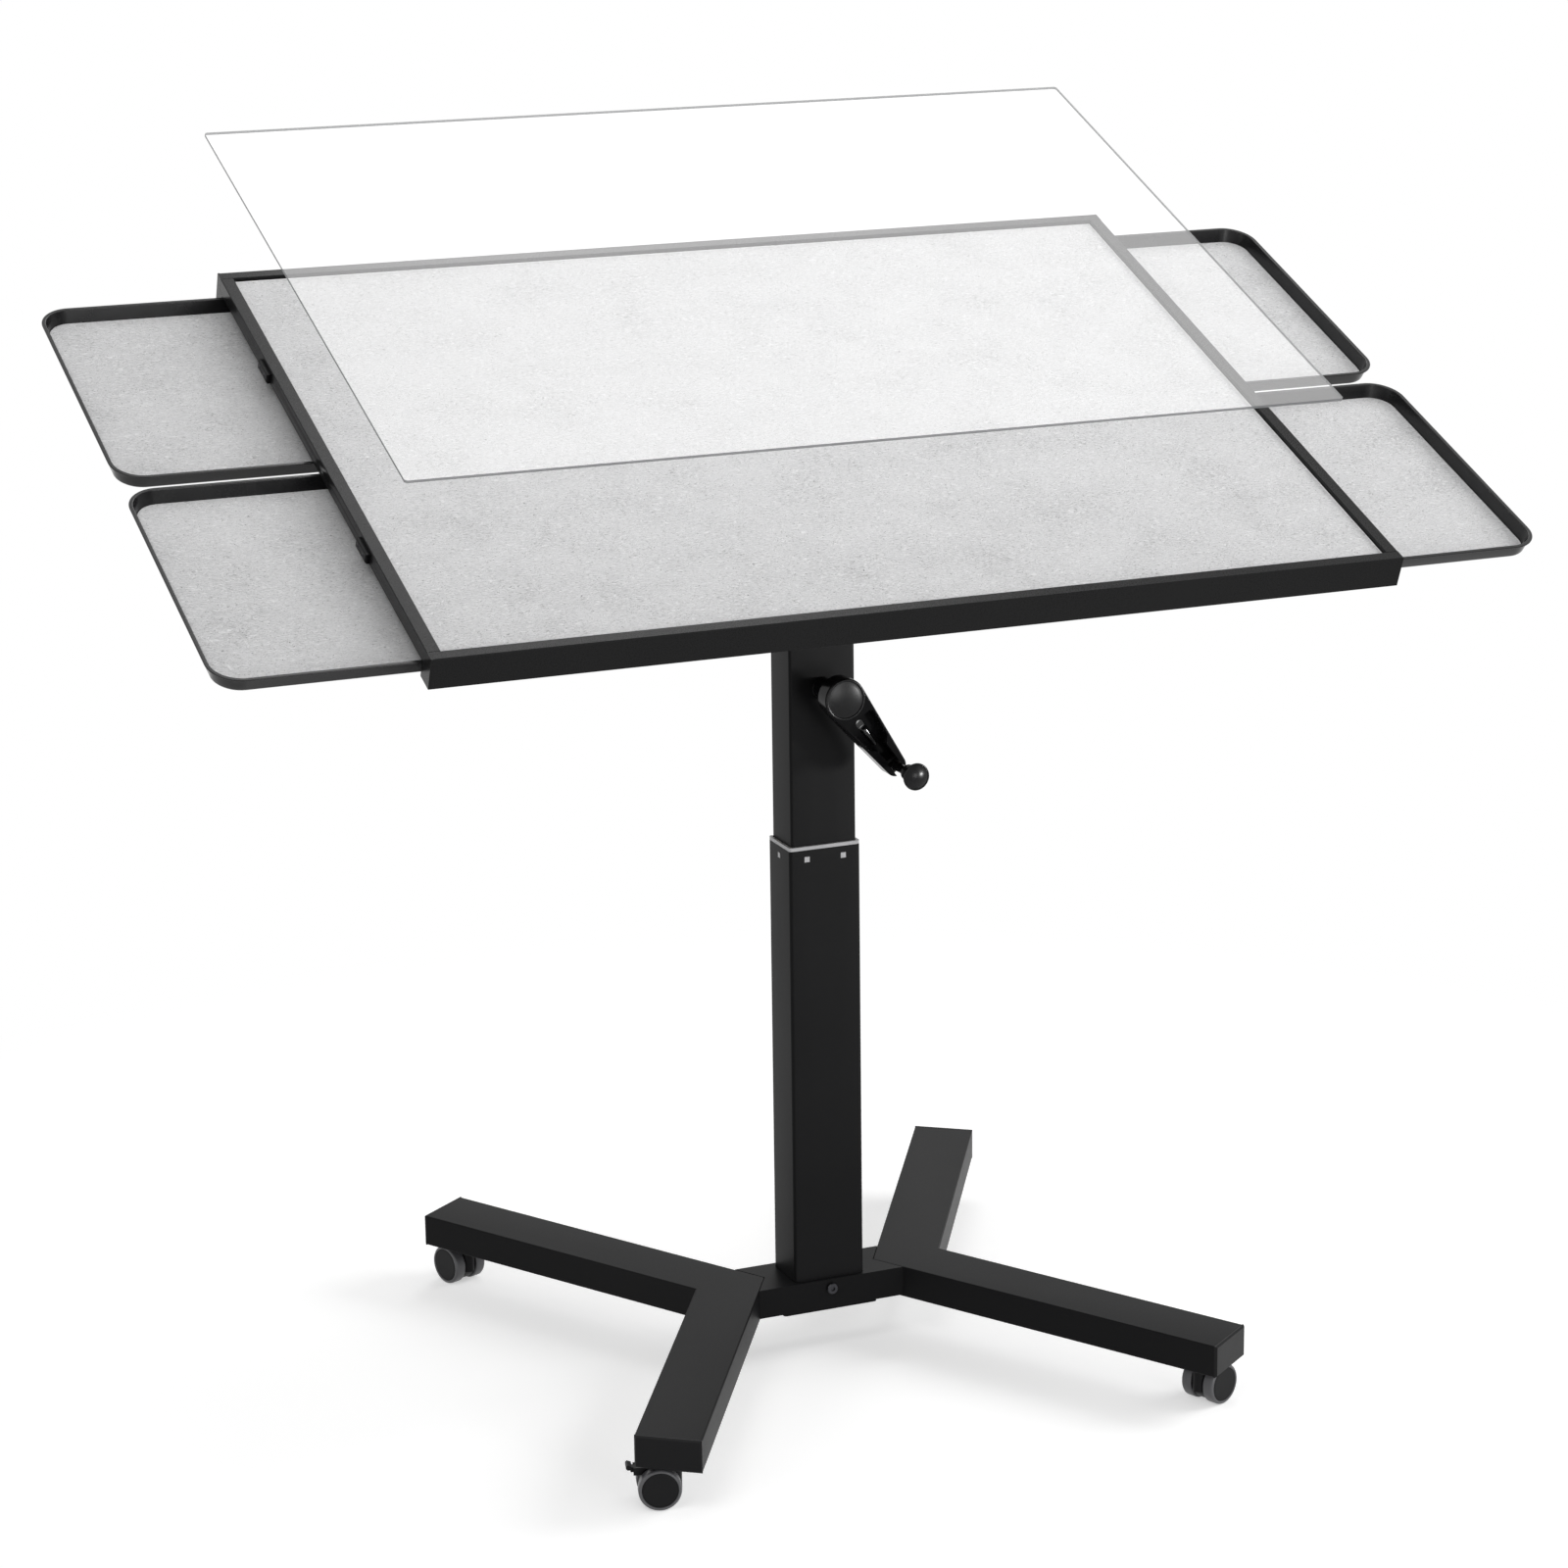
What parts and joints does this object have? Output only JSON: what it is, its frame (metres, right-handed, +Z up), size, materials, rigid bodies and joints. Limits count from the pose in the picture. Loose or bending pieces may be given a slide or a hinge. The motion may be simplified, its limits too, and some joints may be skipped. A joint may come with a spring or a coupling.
{
  "type": "puzzle table",
  "caption": "Puzzle table: a felt board with raised rails that tilts, trays that draw out at both ends, a crank-lifted column, a caster base and a clear lift-off cover.",
  "frame": {"origin": "on the floor under the column's axis", "axes": "+X along the board's long side, +Y from the crank towards the raised back edge, +Z up"},
  "size_m": [1.233, 0.6708, 1.1295],
  "materials": {
    "frame_paint": "fine-textured dark powder coat",
    "rail_paint": "dark powder coat",
    "board": "plain fibreboard",
    "felt": "pale felt",
    "tray_felt": "pale felt",
    "tray_plastic": "satin moulded",
    "black_plastic": "satin moulded",
    "grey_plastic": "satin moulded",
    "wheel_plastic": "smooth",
    "steel": "turned",
    "cast": "as cast",
    "bronze": "turned",
    "zinc": "zinc plated",
    "clear_sheet": "clear acrylic"
  },
  "bodies": {
    "base": {"crossbar": "frame_paint", "leg_left": "frame_paint", "leg_right": "frame_paint", "leg_end_caps": "black_plastic", "base_plate": "frame_paint", "base_bolts": "zinc", "outer_column": "frame_paint", "column_sleeve": "grey_plastic", "cross_screws": "zinc", "nut_post": "frame_paint", "lift_nut": "bronze", "caster_bushes": "black_plastic"},
    "upper": {"inner_column": "frame_paint", "lower_guide": "black_plastic", "gearbox_housing": "cast", "head_bracket": "frame_paint", "shaft_bush": "bronze", "pivot_bolt": "steel"},
    "screw": {"lead_screw": "steel", "driven_gear": "steel"},
    "crank": {"crank_shaft": "steel", "drive_gear": "steel", "crank_arm": "frame_paint", "hub_cap": "black_plastic", "fold_pin": "steel"},
    "handle_stem": {"knob_stem": "steel"},
    "handle": {"crank_knob": "black_plastic"},
    "top": {"front_rail": "rail_paint", "back_rail": "rail_paint", "left_rail": "rail_paint", "right_rail": "rail_paint", "rail_end_caps": "black_plastic", "board_panel": "board", "felt_mat": "felt", "spine_channel": "rail_paint", "centre_runners": "rail_paint", "tilt_bracket": "frame_paint", "bracket_screws": "zinc", "drawer_catches": "black_plastic", "catch_screws": "zinc"},
    "clamp_knob": {"tilt_knob": "black_plastic"},
    "cover": {"clear_cover": "clear_sheet"},
    "drawer_right_front": {"tray_right_front": "tray_plastic", "tray_right_front_liner": "tray_felt"},
    "swivel_right_front": {"caster_housing_right_front": "black_plastic"},
    "wheels_right_front": {"caster_wheels_right_front": "wheel_plastic"},
    "drawer_right_back": {"tray_right_back": "tray_plastic", "tray_right_back_liner": "tray_felt"},
    "swivel_right_back": {"caster_housing_right_back": "black_plastic"},
    "wheels_right_back": {"caster_wheels_right_back": "wheel_plastic"},
    "drawer_left_front": {"tray_left_front": "tray_plastic", "tray_left_front_liner": "tray_felt"},
    "swivel_left_front": {"caster_housing_left_front": "black_plastic"},
    "wheels_left_front": {"caster_wheels_left_front": "wheel_plastic"},
    "drawer_left_back": {"tray_left_back": "tray_plastic", "tray_left_back_liner": "tray_felt"},
    "swivel_left_back": {"caster_housing_left_back": "black_plastic"},
    "wheels_left_back": {"caster_wheels_left_back": "wheel_plastic"},
    "brake_right_front": {"brake_lever_right_front": "black_plastic"},
    "brake_left_front": {"brake_lever_left_front": "black_plastic"}
  },
  "joints": [
    {"name": "lift", "type": "slide", "parent": "base", "child": "upper", "axis": [0, 0, 1], "range_m": [-0.11, 0.125]},
    {"name": "screw_turn", "type": "hinge", "parent": "upper", "child": "screw", "pos_m": [0, 0, 0.602], "axis": [0, 0, 1], "continuous": true},
    {"name": "crank_turn", "type": "hinge", "parent": "upper", "child": "crank", "pos_m": [0, -0.06, 0.642], "axis": [0, -1, 0], "continuous": true},
    {"name": "handle_fold", "type": "hinge", "parent": "crank", "child": "handle_stem", "pos_m": [0.04937, -0.0716, 0.57553], "axis": [-0.8028, 0, -0.5962], "range_deg": [0, 90]},
    {"name": "handle_spin", "type": "hinge", "parent": "handle_stem", "child": "handle", "pos_m": [0.04937, -0.11, 0.57553], "axis": [0, -1, 0], "continuous": true},
    {"name": "tilt", "type": "hinge", "parent": "upper", "child": "top", "pos_m": [0, 0, 0.7963], "axis": [1, 0, 0], "range_deg": [-21.5, 18.5]},
    {"name": "clamp_turn", "type": "hinge", "parent": "upper", "child": "clamp_knob", "pos_m": [0.048, 0, 0.7963], "axis": [1, 0, 0], "range_deg": [0, 360]},
    {"name": "draw_right_front", "type": "slide", "parent": "top", "child": "drawer_right_front", "axis": [1, 0, 0], "range_m": [-0.16, 0.13]},
    {"name": "draw_right_back", "type": "slide", "parent": "top", "child": "drawer_right_back", "axis": [1, 0, 0], "range_m": [-0.16, 0.13]},
    {"name": "draw_left_front", "type": "slide", "parent": "top", "child": "drawer_left_front", "axis": [-1, 0, 0], "range_m": [-0.173, 0.117]},
    {"name": "draw_left_back", "type": "slide", "parent": "top", "child": "drawer_left_back", "axis": [-1, 0, 0], "range_m": [-0.173, 0.117]},
    {"name": "cover_lift", "type": "slide", "parent": "top", "child": "cover", "axis": [-0.1228, 0.2681, 0.9555], "range_m": [-0.13841, 0]},
    {"name": "swivel_turn_left_front", "type": "hinge", "parent": "base", "child": "swivel_left_front", "pos_m": [-0.25651, -0.27942, 0.055], "axis": [0, 0, 1], "continuous": true},
    {"name": "roll_left_front", "type": "hinge", "parent": "swivel_left_front", "child": "wheels_left_front", "pos_m": [-0.26993, -0.27545, 0.019], "axis": [-0.284, -0.9588, 0], "continuous": true},
    {"name": "brake_press_left_front", "type": "hinge", "parent": "swivel_left_front", "child": "brake_left_front", "pos_m": [-0.28815, -0.27005, 0.033], "axis": [-0.284, -0.9588, 0], "range_deg": [0, 12]},
    {"name": "swivel_turn_right_front", "type": "hinge", "parent": "base", "child": "swivel_right_front", "pos_m": [0.25651, -0.27942, 0.055], "axis": [0, 0, 1], "continuous": true},
    {"name": "roll_right_front", "type": "hinge", "parent": "swivel_right_front", "child": "wheels_right_front", "pos_m": [0.26937, -0.27391, 0.019], "axis": [-0.3939, 0.9191, 0], "continuous": true},
    {"name": "brake_press_right_front", "type": "hinge", "parent": "swivel_right_front", "child": "brake_right_front", "pos_m": [0.28684, -0.26642, 0.033], "axis": [-0.3939, 0.9191, 0], "range_deg": [0, 12]},
    {"name": "swivel_turn_left_back", "type": "hinge", "parent": "base", "child": "swivel_left_back", "pos_m": [-0.25651, 0.27942, 0.055], "axis": [0, 0, 1], "continuous": true},
    {"name": "roll_left_back", "type": "hinge", "parent": "swivel_left_back", "child": "wheels_left_back", "pos_m": [-0.26125, 0.29259, 0.019], "axis": [-0.9409, -0.3387, 0], "continuous": true},
    {"name": "swivel_turn_right_back", "type": "hinge", "parent": "base", "child": "swivel_right_back", "pos_m": [0.25651, 0.27942, 0.055], "axis": [0, 0, 1], "continuous": true},
    {"name": "roll_right_back", "type": "hinge", "parent": "swivel_right_back", "child": "wheels_right_back", "pos_m": [0.24438, 0.28642, 0.019], "axis": [-0.5, -0.866, 0], "continuous": true}
  ],
  "couplings": [
    {"joint": "screw_turn", "follows": "lift", "rad_per_m": -1256.6},
    {"joint": "crank_turn", "follows": "lift", "rad_per_m": -1256.6}
  ]
}
